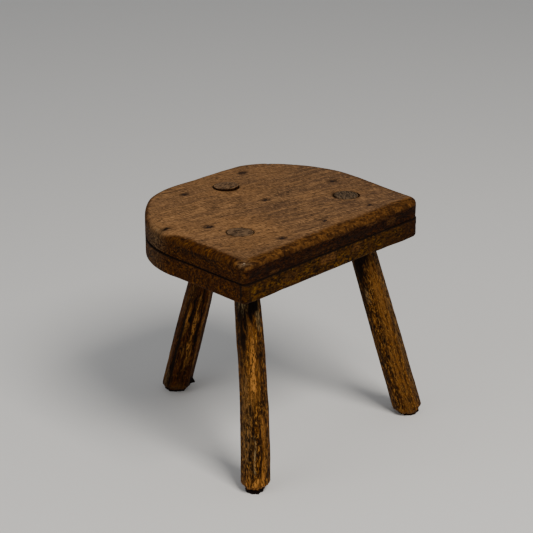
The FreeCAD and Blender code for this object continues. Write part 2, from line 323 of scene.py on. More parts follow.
def sheet_points(rim, holes, spacing, fine):
    """Points that fill a rim and leave its holes free. They are closer at the places that fine lists."""
    groups = [grid_points(rim.min(0), rim.max(0), spacing)]
    for place in fine:
        near = grid_points(np.array(place) - FINE_REACH, np.array(place) + FINE_REACH, FINE_SPACING)
        groups[0] = groups[0][np.linalg.norm(groups[0] - place, axis=1) > FINE_REACH]
        groups.append(near[np.linalg.norm(near - place, axis=1) < 0.95 * FINE_REACH])
    points = np.concatenate(groups)
    clear = 0.45 * spacing
    keep = inside_ring(points, rim, clear)
    for hole in holes:
        keep &= ~inside_ring(points, hole, -clear)
    return points[keep]


def flat_sheet(rim, holes, z, spacing, fine=()):
    """Triangles that fill a rim and leave holes."""
    rings = [rim] + list(holes)
    edges, start = [], 0
    for ring in rings:
        edges += [(start + k, start + (k + 1) % len(ring)) for k in range(len(ring))]
        start += len(ring)
    flat = [Vector(p) for p in np.concatenate([*rings, sheet_points(rim, holes, spacing, fine)])]
    found, _, triangles, _, _, _ = delaunay_2d_cdt(flat, edges, [], 0, 1e-7)
    found = np.array([tuple(v) for v in found])
    corners = np.array(triangles)
    centres = found[corners].mean(1)
    keep = inside_ring(centres, rim, 0.01 * MM)
    for hole in holes:
        keep &= ~inside_ring(centres, hole, 0)
    return np.column_stack([found, np.full(len(found), z)]), [tuple(t) for t in corners[keep]]


def welded(sheets):
    """One closed mesh from sheets of points and faces that share their rims."""
    made = bmesh.new()
    for points, faces in sheets:
        verts = [made.verts.new(p) for p in points]
        for face in faces:
            made.faces.new([verts[k] for k in face])
    bmesh.ops.remove_doubles(made, verts=made.verts, dist=0.01 * MM)
    loose = [v for v in made.verts if not v.link_faces]
    bmesh.ops.delete(made, geom=loose, context="VERTS")
    bmesh.ops.recalc_face_normals(made, faces=made.faces)
    made.verts.index_update()
    points = np.array([v.co for v in made.verts])
    faces = [tuple(v.index for v in f.verts) for f in made.faces]
    made.free()
    return points, faces


OUTLINE = Outline(OUTLINE_SPACING)


def sharp_board(node, top_spacing, under_spacing, fine=()):
    """A D-shaped slab with sharp edges and three slanting holes, with points close enough to shape it."""
    low, high = heights_of(node)
    insets = np.arange(0, 4.1, 0.8) * MM
    walls = np.arange(low, high + 0.1 * MM, (high - low) / round((high - low) / MM))
    sheets = [
        strip([OUTLINE.ring(i, high) for i in insets]),
        strip([OUTLINE.ring(0, z) for z in walls]),
        strip([OUTLINE.ring(i, low) for i in insets]),
    ]
    for z, spacing, places in ((high, top_spacing, fine), (low, under_spacing, ())):
        rim = OUTLINE.ring(insets[-1], z)[:, :2]
        holes = [hole_ring(axis, z)[:, :2] for axis in AXES.values()]
        sheets.append(flat_sheet(rim, holes, z, spacing, places))
    for axis in AXES.values():
        sheets.append(strip([hole_ring(axis, z) for z in walls]))
    return welded(sheets)


def rounding(inside, width, height):
    """How far a quarter-round edge sinks at each distance in from the rim."""
    return height * (1 - np.sqrt(1 - np.clip(1 - inside / width, 0, 1) ** 2))


def shape_edges(points, inside, index, low, high, top, bottom):
    """Rounds a slab's outer edges, and returns the "edge" of each point. top and bottom are each a width
    inwards and a height, all round the outline."""
    wall = inside < 0.01 * MM
    top_width, top_height = (size[index] for size in top)
    low_width, low_height = (size[index] for size in bottom)
    share = (points[:, 2] - low) / (high - low)
    on_wall = low + low_height + share * (high - low - top_height - low_height)
    sunk = points[:, 2] - rounding(inside, top_width, top_height)
    raised = points[:, 2] + rounding(inside, low_width, low_height)
    height = np.where(wall, on_wall, np.where(share > 0.5, sunk, raised))
    edge = np.clip(1 - inside / top_width, 0, 1) * 0.5
    edge = np.where(wall, 0.5 + 0.5 * np.clip((high - top_height - height) / (6 * MM), 0, 1), edge)
    points[:, 2] = height
    return np.where(share > 0.5, edge, 1)


def near_ones(values, reach):
    """Each of the outline's values averaged with its neighbours within reach."""
    count = int(reach / OUTLINE.length * len(values))
    around = np.concatenate([values[-count:], values, values[:count]])
    return np.convolve(around, np.ones(2 * count + 1) / (2 * count + 1), "valid")


def along_outline(size, seed, octaves=2):
    """Smooth random values along the outline."""
    return noise(np.column_stack([OUTLINE.points, np.zeros(len(OUTLINE.points))]), size, seed, octaves)


def grain_space(points, seed):
    """Places in the wood of a board, with X along the grain."""
    along, across = rotated(points[:, 0], points[:, 1], GRAIN_ANGLE)
    across += 3 * MM * noise(points, (120 * MM, 40 * MM, 40 * MM), seed)
    return np.column_stack([along + seed, across + seed, points[:, 2]])


def side_dents(points, index, wall):
    """Knife marks and bruises on the sawn sides, mostly inwards."""
    depth = 0.35 * np.maximum(noise(points, (9 * MM, 9 * MM, 5 * MM), 31, 2), 0)
    depth += 0.16 * noise(points, (2.2 * MM, 2.2 * MM, 3 * MM), 32)
    points[:, :2] += (wall * depth * MM)[:, None] * OUTLINE.inward[index]


def swell(points, inside, index, overhang, swellings):
    """Moves a board's rim out where its saw cut swells, and by the overhang of its right end."""
    height = np.zeros(len(OUTLINE.points))
    for place, reach, most in swellings:
        away = np.linalg.norm(OUTLINE.points / MM - place, axis=1)
        height += most * MM * np.exp(-((away / reach) ** 2))
    out = height[index] * smooth(-inside, -SWELL_DEPTH, 0)
    out += overhang[index] * smooth(-inside, -OVERHANG_DEPTH, 0)
    points[:, :2] -= out[:, None] * OUTLINE.inward[index]


def seat_sides():
    """How far each sample of the outline belongs to the flat edge, the left side and the right side."""
    x, y = OUTLINE.inward.T
    return [near_ones(smooth(v, 0.55, 0.95), 10 * MM) for v in (y, x, -x)]


# Marks on top: the place, the size along and across a direction, the direction, the depth in mm, and dirt.
TOP_MARKS = [
    ((-132, -4), (7, 4), -10, 0.5, 1), ((-133, -104), (8, 5), 60, 0.5, 0.45),
    ((-137, -121), (7, 6), 45, 1.6, 0), ((-112, -98), (34, 22), 20, 0.1, 0.28),
    ((44, -6), (5, 0.7), 45, 0.3, 0.6), ((20, 20), (50, 0.8), -11, 0.2, 0.35),
    ((60, 2), (34, 0.7), -12, 0.2, 0.35), ((-60, 20), (34, 0.7), -12, 0.15, 0.25),
    ((82, 63), (5, 0.8), 50, 0.6, 0.8), ((-94, -43), (16, 0.8), -70, 0.15, 0.1),
    ((-100, -50), (14, 0.8), -65, 0.15, 0.1), ((62, -10), (30, 0.7), -20, 0.25, 0.3),
    ((18, -47), (42, 0.7), -11, 0.22, 0.3), ((-20, -30), (40, 0.6), -12, 0.2, 0.2),
]
# Patches on the sides: the place, the half sizes along X, Y and Z, how bare and how dirty.
SIDE_PATCHES = [
    ((-25, -127, 237.5), (11, 9, 5), 0.9, 0), ((18, -127, 237), (6.5, 9, 5), 0.7, 0),
    ((-80, -127, 233), (9, 9, 5), 0.25, 0), ((49, -127, 262), (16, 12, 2.2), 0.6, 0),
    ((-66, -124, 264), (9, 9, 1.6), 0.35, 0), ((-8, -124, 264), (14, 9, 1.6), 0.35, 0),
    ((72, -127, 253), (7, 9, 6), 0.35, 0), ((-102, -127, 246), (7, 9, 2), 0.5, 0),
    ((-40, -127, 250), (22, 9, 2.5), 0.2, 0), ((-143, -124, 250), (2, 2, 14), 0.35, 0),
    ((28, -127, 250), (1, 6, 5), 0, 0.7), ((-120, -127, 254), (16, 9, 4), 0, 0.6),
    ((95, -127, 256), (16, 9, 5), 0, 0.5), ((10, -127, 252), (26, 9, 4), 0, 0.6),
    ((-143, -60, 259), (8, 30, 4), 0, 0.5), ((-143, -122, 232), (3, 1.2, 10), 0, 0.9),
    ((-143, -121, 250), (3, 1, 7), 0, 0.5),
]
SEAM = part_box("upper_seat_board")[0].z


def side_patches(points):
    """How bare and how dirty each point of a board is."""
    bare, dirt_and_shade = np.zeros((2, len(points)))
    uneven = ragged(points, 1.3 * MM, 4 * MM, 80, 2)
    for centre, half, bared, dirtied in SIDE_PATCHES:
        away = abs(uneven - np.array(centre) * MM) / (np.array(half) * MM)
        inside = smooth(-away.max(1), -1.15, -0.85)
        bare, dirt_and_shade = np.maximum(bare, bared * inside), np.maximum(dirt_and_shade, dirtied * inside)
    seam = 0.9 * np.exp(-(((points[:, 2] - SEAM) / (0.6 * MM)) ** 2))
    return bare * (1 - seam), np.maximum(dirt_and_shade, seam)


def left_end_film(points):
    """Where hands have left a grey film on the left end of the seat, fading towards the back."""
    x, y, _ = ragged(points, 3 * MM, 7 * MM, 86, 2).T
    return smooth(-x, 126 * MM, 140 * MM) * smooth(y, -22 * MM, 8 * MM) * smooth(-y, -55 * MM, -20 * MM)


# The facing, in degrees, where the dark rim round the end of each leg is heaviest: grime, and painted shade
# in the gap between the tenon and its hole.
RIM_GRIME_AND_SHADE = {"leg_front_left": 120, "leg_front_right": 135, "leg_rear": -60}
# How rusty the wood round a nail is, where it isn't as rusty as round most of them.
USUAL_RUST = 0.75
NAIL_RUST = {
    "nail_middle_left": 1.0, "nail_rear_right": 0.9, "nail_front_middle": 0.35, "nail_front_right": 0.5,
}


def nail_spots(points, nails):
    """How deep the wood has sunk round the nails, in mm, and how rusty it is."""
    sunk, rust = np.zeros((2, len(points)))
    for name, nail in zip(NAILS, nails):
        spot = bump(points, nail, (7.2 * MM, 5.4 * MM), GRAIN_ANGLE)
        sunk += 0.7 * bump(points, nail, (4.4 * MM, 3.6 * MM), GRAIN_ANGLE)
        rust = np.maximum(rust, NAIL_RUST.get(name, USUAL_RUST) * smooth(spot, 0.2, 0.8))
    return sunk, rust


def top_marks(points):
    """How deep the marks on top are, in mm, and how dirty."""
    sunk, dirt_and_shade = np.zeros((2, len(points)))
    for centre, size, direction, depth, dirtied in TOP_MARKS:
        mark = bump(points, np.array(centre) * MM, np.array(size) * MM, radians(direction))
        sunk += depth * mark
        dirt_and_shade = np.maximum(dirt_and_shade, dirtied * mark)
    return sunk, dirt_and_shade


def tenon_rims(sharp, high):
    """How deep the wood has sunk round the tenons, in mm, and how dark it is: grime, and painted shade in the
    gap round each tenon.
    """
    sunk, dirt_and_shade = np.zeros((2, len(sharp)))
    for leg, axis in AXES.items():
        offset = sharp[:, :2] - axis.hole(sharp[:, 2])
        offset = np.stack([offset @ axis.along / axis.stretch, offset @ axis.across])
        distance = np.hypot(*offset) - BORE_RADIUS * axis.oval(np.arctan2(offset[1], offset[0]))
        rim = np.exp(-np.maximum(distance, 0) / (0.7 * MM))
        sunk += 0.4 * rim
        around = sharp[:, :2] - axis.hole(high)
        turned = np.arctan2(around[:, 1], around[:, 0]) - radians(RIM_GRIME_AND_SHADE[leg])
        # Painted shade in the gap round the tenon, with grime, heaviest at one facing.
        dirt_and_shade = np.maximum(dirt_and_shade, 0.8 * rim * (0.65 + 0.35 * np.cos(turned)))
    return sunk, dirt_and_shade


def make_upper_board(material):
    """The board that is sat on: its edges are worn round, and its top is dented and stained at the nails."""
    low, high = heights_of(BOARDS[0])
    nails = [np.array(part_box(n)[0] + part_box(n)[1])[:2] / 2 for n in NAILS]
    points, faces = sharp_board(BOARDS[0], 1.2 * MM, 7 * MM, nails)
    inside, index = OUTLINE.nearest(points)
    sharp = points.copy()
    flat, left, right = seat_sides()
    wander = near_ones(along_outline(26 * MM, 3), 4 * MM)
    top = (MM * (5 + 8.5 * flat + 8 * left + 4 * right + 1.4 * wander),
           MM * (3.7 + 3.9 * flat + 3.1 * left + 2.5 * right + 0.7 * wander))
    seam = MM * (0.9 + 0.3 * along_outline(14 * MM, 4))
    edge = shape_edges(points, inside, index, low, high, top, (seam, seam))
    wall = smooth(-inside, -0.6 * MM, 0) * smooth(high - sharp[:, 2], 1 * MM, 5 * MM)
    side_dents(points, index, wall * smooth(sharp[:, 2] - low, 0, 2 * MM))
    swell(points, inside, index, right * UPPER_OVERHANG, SWELLINGS)

    grain = grain_space(sharp, 1)
    relief = 0.12 * noise(grain, (60 * MM, 2.6 * MM, 50 * MM), 5, 2)
    relief += 0.25 * noise(grain, (70 * MM, 35 * MM, 50 * MM), 6, 2) - 0.3
    uneven = ragged(sharp, 0.6 * MM, 2.5 * MM, 84)
    spots, rust = nail_spots(uneven, nails)
    marks, mark_dirt = top_marks(uneven)
    rims, rim_grime_and_shade = tenon_rims(sharp, high)
    relief -= spots + marks + rims
    bare, side_dirt = side_patches(sharp)
    dirt_and_shade = np.maximum.reduce([side_dirt, mark_dirt, rim_grime_and_shade])
    on_top = smooth(sharp[:, 2], high - 0.3 * MM, high) * smooth(inside, 0, 2 * MM)
    points[:, 2] += on_top * relief * MM

    # Painted highlight: a near-white patch on top of the front corner, with grey film round it.
    corner = 1.3 * bump(sharp, (-139 * MM, -121 * MM), (7 * MM, 6 * MM))
    corner *= smooth(points[:, 2], high - 9 * MM, high)
    film_and_highlight = np.maximum(np.minimum(corner, 1), 0.7 * left_end_film(sharp) * smooth(edge, 0.1, 0.4))
    # Towards the back of the left side the top's colour runs further over the edge.
    edge = np.maximum(edge - 0.3 * left[index] * smooth(sharp[:, 1], -36 * MM, -6 * MM), 0)
    attributes = dict(grain=grain, edge=edge, left=left[index], bare=bare, dirt_and_shade=dirt_and_shade, film_and_highlight=film_and_highlight,
                      rust=rust, lower_side_light=np.zeros(len(points)))
    return make_object("upper_seat_board_wood", points, faces, material, attributes)


def make_lower_board(material):
    """The board underneath, with the same outline."""
    low, high = heights_of(BOARDS[1])
    points, faces = sharp_board(BOARDS[1], 7 * MM, 2.2 * MM)
    inside, index = OUTLINE.nearest(points)
    sharp = points.copy()
    seam = MM * (0.8 + 0.3 * along_outline(16 * MM, 8))
    under = MM * (1.7 + 0.5 * near_ones(along_outline(18 * MM, 9), 3 * MM))
    shape_edges(points, inside, index, low, high, (seam, seam), (under, under))
    wall = smooth(-inside, -0.6 * MM, 0) * smooth(high - sharp[:, 2], 0, 2 * MM)
    side_dents(points, index, wall * smooth(sharp[:, 2] - low, 1 * MM, 4 * MM))
    flat, left, right = seat_sides()
    swell(points, inside, index, right * LOWER_OVERHANG, SWELLINGS + LOWER_SWELLINGS)

    grain = grain_space(sharp, 2)
    below = smooth(low + 0.3 * MM - sharp[:, 2], 0, 0.3 * MM) * smooth(inside, 0, 2 * MM)
    points[:, 2] += below * MM * (0.2 + 0.15 * noise(grain, (60 * MM, 5 * MM, 50 * MM), 10, 2))
    bare, dirt_and_shade = side_patches(sharp)
    on_side = smooth(-inside, -8 * MM, -1 * MM)
    # Painted light: part of the lower board's flat side is made paler, fading towards its right end, as light
    # falls on it.
    lower_side_light = (0.92 - 0.75 * smooth(sharp[:, 0], 50 * MM, 115 * MM)) * flat[index] * on_side
    attributes = dict(grain=grain, edge=np.ones(len(points)), left=left[index] * on_side, bare=bare,
                      dirt_and_shade=dirt_and_shade, film_and_highlight=0.35 * left_end_film(sharp), rust=np.zeros(len(points)), lower_side_light=lower_side_light)
    return make_object("lower_seat_board_wood", points, faces, material, attributes)


# ---- legs ----

@dataclass
class LegShape:
    """What makes each leg its own. The lists hold patches of paint: a height in mm, a facing in degrees from
    +X, half the size in both, and how strong it is."""

    seed: int
    grooves: float  # their depth in mm
    groove_size: tuple  # their width and length
    gap: float  # how far the tenon has shrunk from its hole
    slant: float  # how far the top end tips down towards the back
    end_shade: float  # how pale the end grain is
    grime: float  # how much grime is all over it
    shadow: float  # how far down from the seat the seat's painted shadow reaches
    stain: float  # how dark the wood is stained
    stub: float  # the height of the foot's stub, which is painted black as the shadow under the foot
    dirt_and_shade: list
    bare: list
    film_and_highlight: list


# Painted shadow: the dark patches high on the two front legs stand for the seat's shadow with grime, and the
# one on the left of the front right leg, at about 150 mm up, for shade; the other dark patches are grime.
LEG_SHAPES = {
    "leg_front_left": LegShape(
        seed=11, grooves=0.35, groove_size=(2.4 * MM, 40 * MM), gap=0.2 * MM, slant=0, end_shade=0.45,
        grime=0.04, shadow=9 * MM, stain=0, stub=4.4 * MM,
        dirt_and_shade=[(172, -166, 30, 11, 0.95), (192, -122, 10, 12, 1), (198, -100, 12, 18, 1),
              (180, -148, 18, 9, 0.95), (114, -86, 60, 6, 0.7), (32, -151, 20, 4, 0.8),
              (48, -116, 40, 4, 0.9), (95, -103, 14, 6, 0.5), (187, -145, 6, 12, 0.7)],
        bare=[(166, -130, 24, 13, 0.7), (130, -126, 24, 22, 0.95), (110, -140, 18, 11, 0.75),
              (60, -99, 19, 11, 0.75), (29, -100, 15, 12, 0.85), (9, -140, 5.5, 60, 1.4),
              (120, -168, 40, 14, 0.25)],
        film_and_highlight=[(196, -160, 10, 24, 1), (186, -88, 12, 10, 0.8), (44, -136, 18, 4, 0.9),
              (75, -168, 46, 20, 0.25)]),
    "leg_front_right": LegShape(
        seed=12, grooves=0.25, groove_size=(2.4 * MM, 30 * MM), gap=1.3 * MM, slant=0, end_shade=0.1,
        grime=0, shadow=9 * MM, stain=0, stub=2 * MM,
        dirt_and_shade=[(202, -150, 15, 36, 0.95), (183, -168, 22, 24, 0.95), (152, -196, 36, 12, 0.7),
              (20, -150, 12, 30, 0.3), (110, -62, 100, 26, 0.3)],
        bare=[(150, -110, 50, 25, 0.35), (85, -95, 90, 20, 0.2), (60, -125, 60, 22, 0.3),
              (5, -130, 4, 70, 0.4)],
        film_and_highlight=[(150, -168, 10, 8, 0.5), (120, -66, 90, 22, 0.2)]),
    "leg_rear": LegShape(
        seed=13, grooves=0.6, groove_size=(4.4 * MM, 400 * MM), gap=0.5 * MM, slant=1.2 * MM,
        end_shade=0.8, grime=0.05, shadow=26 * MM, stain=0.85, stub=2 * MM,
        dirt_and_shade=[(90, -107, 46, 4, 1), (112, -147, 26, 5, 1), (60, -173, 60, 8, 0.95),
              (104, -178, 30, 5, 0.6), (150, -112, 30, 9, 0.8), (155, -150, 22, 14, 0.7),
              (40, -98, 16, 5, 0.8), (13, -66, 8, 12, 1), (8, -130, 7, 60, 0.35),
              (64, -140, 14, 3, 0.8)],
        bare=[(84, -126, 42, 8, 1), (100, -160, 17, 8, 0.9), (92, -88, 60, 7, 0.7),
              (36, -222, 26, 22, 0.4), (140, -170, 20, 20, 0.3), (60, -146, 10, 4, 0.5),
              (8, -140, 5, 40, 0.35)],
        film_and_highlight=[(118, -190, 12, 8, 0.25), (20, -195, 14, 12, 0.35)]),
}
# A tenon that has shrunk shows its gaps at this facing and opposite it.
GAP_FACING = radians(-45)
SPLINTER_FACING = radians(-62)
# A leg's mesh: the points round it, the height of its rows and the rings that fill each end.
AROUND, ROW_HEIGHT, CAP_RINGS = 144, 0.85 * MM, 14
# Its shaved flats, how deep they are as a share of its radius, and the cuts that chopped its foot.
FLATS, FLAT_DEPTH, FOOT_CUTS = 11, 0.035, 9


def facets(angles, z, seed):
    """How far a shaved leg's flats lie inside its round, as a share of the radius."""
    random = np.random.default_rng(seed)
    share = np.ones_like(angles)
    for k in range(FLATS):
        facing = tau * (k + random.uniform(-0.3, 0.3)) / FLATS
        place = np.column_stack([z, np.zeros(len(z)), np.full(len(z), k)])
        wander = 0.10 * noise(place, (90 * MM, 1, 0.37), seed)
        flat = 1 - FLAT_DEPTH * (0.6 + random.uniform(0, 0.8)) + 0.02 * wander
        turned = turned_by(angles, facing + wander)
        share = np.minimum(share, np.where(abs(turned) < 1.2, flat / np.cos(np.clip(turned, -1.2, 1.2)), 9))
    return share


def foot_limit(angles, z, tip, stub, seed):
    """The largest radius that the chopped and worn end of a leg leaves."""
    random = np.random.default_rng(seed + 50)
    limit = np.ones_like(angles)
    for k in range(FOOT_CUTS):
        facing = tau * (k + random.uniform(-0.35, 0.35)) / FOOT_CUTS
        reach = tip * random.uniform(0.86, 1.08)
        rise = random.uniform(0.6, 1.3)
        turned = turned_by(angles, facing)
        plane = (reach + rise * np.maximum(z - stub, 0)) / np.cos(np.clip(turned, -1.1, 1.1))
        limit = np.minimum(limit, np.where(abs(turned) < 1.1, plane, 1.0))
    return limit


def splinter(axis, angle, z):
    """How far the long splinter near the rear leg's foot stands out."""
    turned = turned_by(axis.azimuth(angle), SPLINTER_FACING)
    tip = smooth(z, 9.5 * MM, 11 * MM) * smooth(-z, -18 * MM, -11.5 * MM)
    return 4.4 * MM * np.exp(-((turned / 0.09) ** 2)) * tip


def on_leg(angle, z):
    """Places on a plain round of about a leg's size, where noise runs round it."""
    return np.column_stack([np.cos(angle) * 15 * MM, np.sin(angle) * 15 * MM, z])


def leg_radius(node, angle, z):
    """The radius of a leg at each angle and height, and the noise that cuts its grooves."""
    axis, shape = AXES[node], LEG_SHAPES[node]
    place = on_leg(angle, z)
    across, along = shape.groove_size
    groove = noise(place, (across, across, along), shape.seed, 2)
    fine = noise(place, (1.5 * MM, 1.5 * MM, 9 * MM), shape.seed + 1, 2)
    lump = noise(place, (14 * MM, 14 * MM, 40 * MM), shape.seed + 2, 2)
    full = axis.radii(z)
    shaft = full * facets(angle, z, shape.seed)
    shaft += MM * (shape.grooves * np.minimum(groove, 0.15) + 0.16 * fine + 0.35 * lump - 0.25)
    chips = noise(place, (2.8 * MM, 2.8 * MM, 1.8 * MM), shape.seed + 3, 2)
    foot = foot_limit(angle, z, full - 6 * MM, shape.stub, shape.seed) + 1.1 * MM * chips
    shaft = np.minimum(shaft, foot)
    if node == "leg_rear":
        shaft += splinter(axis, angle, z)
    shoulder = 13.7 * MM + 0.14 * np.maximum(axis.under - 3 * MM - z, 0)
    shaft = np.minimum(shaft, shoulder)

    gap = shape.gap * np.cos(axis.azimuth(angle) - GAP_FACING) ** 2
    gap *= smooth(z, axis.top - 16 * MM, axis.top - 5 * MM)
    tenon = BORE_RADIUS * axis.oval(angle) - 0.26 * MM - gap + 0.12 * MM * fine
    radius = shaft + smooth(z, axis.under - 4 * MM, axis.under + 2 * MM) * (tenon - shaft)
    worn = smooth(z, axis.top - 1.2 * MM, axis.top) ** 2
    radius -= worn * 0.6 * MM * (1 + 0.9 * noise(place, 3 * MM, shape.seed + 4, 2))
    return radius, groove


def leg_faces(rows):
    """The faces of a leg: quads between its rings, and fans to the two points that close its ends."""
    faces = strip([np.zeros((AROUND, 3))] * rows)[1]
    foot, end = rows * AROUND, rows * AROUND + 1
    last_row = (rows - 1) * AROUND
    for k in range(AROUND):
        n = (k + 1) % AROUND
        faces += [(foot, n, k), (end, last_row + k, last_row + n)]
    return faces


def make_leg(node, material):
    """A leg as rings of points, up from the middle of its foot to the middle of its tenon's end."""
    axis, shape = AXES[node], LEG_SHAPES[node]
    caps = np.linspace(0.04, 0.97, CAP_RINGS)
    heights = np.append(np.arange(0, axis.top, ROW_HEIGHT)[:-1], axis.top)
    level = np.concatenate([np.zeros(CAP_RINGS), heights, np.full(CAP_RINGS, axis.top)])
    rows = len(level)
    z = np.repeat(level, AROUND)
    fill = np.repeat(np.concatenate([caps, np.ones(len(heights)), caps[::-1]]), AROUND)
    angle = np.tile(np.linspace(0, tau, AROUND, endpoint=False), rows)
    sole = np.repeat(np.arange(rows) < CAP_RINGS, AROUND)
    end = np.repeat(np.arange(rows) >= rows - CAP_RINGS - 1, AROUND)

    radius, groove = leg_radius(node, angle, z)
    radius *= fill
    offset = (radius * np.cos(angle) * axis.stretch)[:, None] * axis.along
    offset += (radius * np.sin(angle))[:, None] * axis.across
    points = np.column_stack([axis.centre(z) + offset, z])
    points[:, 2] -= shape.slant * offset[:, 1] / BORE_RADIUS * smooth(z, axis.top - 3 * MM, axis.top)
    rough = noise(points, 1.6 * MM, shape.seed + 5, 2)
    points[:, 2] -= end * MM * (0.18 + 0.18 * rough + 0.25 * fill ** 4)
    points[:, 2] += sole * MM * 0.25 * (1 - fill ** 6) * (1 + rough)
    foot = [*axis.centre(0.0), 0.4 * MM]
    tip = [*axis.centre(axis.top), axis.top - 0.18 * MM]
    points = np.vstack([points, [foot, tip]])

    cut = end | sole
    wood = np.column_stack([z * axis.stretch + shape.seed, radius * np.cos(angle), radius * np.sin(angle)])
    attributes = {"grain": np.vstack([wood, [[shape.seed, 0, 0], [axis.top + shape.seed, 0, 0]]])}
    for name, values in leg_paint(shape, axis, z, axis.azimuth(angle), groove, cut).items():
        attributes[name] = np.append(values, [0.2, 0.2])
    attributes["end"] = np.append(cut * 1.0, [1, 1])
    attributes["shade"] = np.full(len(points), shape.end_shade)
    attributes["stain"] = np.full(len(points), shape.stain)
    return make_object(node + "_wood", points, leg_faces(rows), material, attributes)


def leg_paint(shape, axis, z, azimuth, groove, cut):
    """The grime in a leg's grooves, the seat's painted shadow down its top and on its tenon, the painted
    shadow under its foot, and its patches of paint.
    """
    place = on_leg(azimuth, z)
    size = (4 * MM, 4 * MM, 12 * MM)
    ragged_z = z + 5 * MM * noise(place, size, 70, 2) * smooth(z, 0, 20 * MM)
    ragged_azimuth = np.degrees(azimuth) + 7 * noise(place, size, 71, 2)
    paint = {}
    for kind in ("dirt_and_shade", "bare", "film_and_highlight"):
        paint[kind] = np.zeros(len(z))
        for height, facing, half_height, half_facing, strength in getattr(shape, kind):
            turned = (ragged_azimuth - facing + 180) % 360 - 180
            away = np.hypot((ragged_z / MM - height) / half_height, turned / half_facing)
            paint[kind] = np.maximum(paint[kind], strength * smooth(-away, -1.5, -0.7))
    # Painted shadow: the seat's shade is painted dark down the top of each leg and on its tenon.
    seat_shadow = smooth(z, axis.under - shape.shadow, axis.under - 2 * MM)
    grooves = shape.grime + (0.75 - 0.45 * shape.stain) * smooth(-groove, 0.05, 0.55)
    dirt_and_shade = np.maximum.reduce([paint["dirt_and_shade"], 0.85 * seat_shadow, grooves * (1 - paint["bare"])])
    # Painted shadow: the stub at the foot is painted black as the shade under the foot.
    dirt_and_shade = np.maximum(dirt_and_shade, smooth(shape.stub - ragged_z, -1 * MM, 0))
    paint["dirt_and_shade"] = np.where(cut & (z > axis.under), 0.15, dirt_and_shade)
    for kind in ("bare", "film_and_highlight"):
        paint[kind] = np.where(cut, 0.0, paint[kind])
    return paint


# ---- nails ----

def make_nail(node, material):
    """A hand-forged nail: a beaten head of uneven outline on a square shank drawn down to a blunt point."""
    low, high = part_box(node)
    centre, half = (low + high) / 2, (high - low) / 2
    seed = NAILS.index(node)
    turn = np.random.default_rng(90 + seed).uniform(-0.2, 0.2)
    neck, head = high.z - 1.5 * MM, high.z
    # Each is a height and the nail's size there, as a share of its head.
    profile = [
        (low.z, 0.25), (low.z + 2 * MM, 0.34), (neck - 1 * MM, 0.62), (neck - 0.2 * MM, 0.85), (neck, 0.93),
        (neck + 0.7 * MM, 1.0), (head - 0.35 * MM, 0.97), (head - 0.12 * MM, 0.85), (head - 0.02 * MM, 0.6),
        (head, 0.3), (head, 0.05),
    ]
    steps = [np.linspace(a, b, 6, endpoint=False) for a, b in zip(profile, profile[1:])]
    angle = np.linspace(0, tau, 40, endpoint=False)
    square = 1 / np.maximum(abs(np.cos(angle)), abs(np.sin(angle))) ** 0.75
    rings = []
    for height, share in np.concatenate(steps):
        x = np.cos(angle + turn) * half.x * share * square * 0.9
        y = np.sin(angle + turn) * half.y * share * square * 0.9
        rings.append(np.column_stack([x + centre.x, y + centre.y, np.full(len(angle), height)]))
    points, faces = strip(rings)
    beaten = noise(points, (1.6 * MM, 1.6 * MM, 3 * MM), 60 + seed, 2)
    from_centre = points[:, :2] - [centre.x, centre.y]
    points[:, :2] += from_centre * 0.06 * beaten[:, None]
    points[:, 2] += np.where(points[:, 2] > head - 0.5 * MM, 0.08 * MM * (beaten - 0.6), 0)
    count = len(angle)
    faces += [tuple(range(count))[::-1], tuple(range(len(points) - count, len(points)))]
    return make_object(node + "_iron", points, faces, material, {"grain": points})


# ---- materials ----

# Old wood and rusty iron hardly shine.
WORN_GLOSS = 0.05


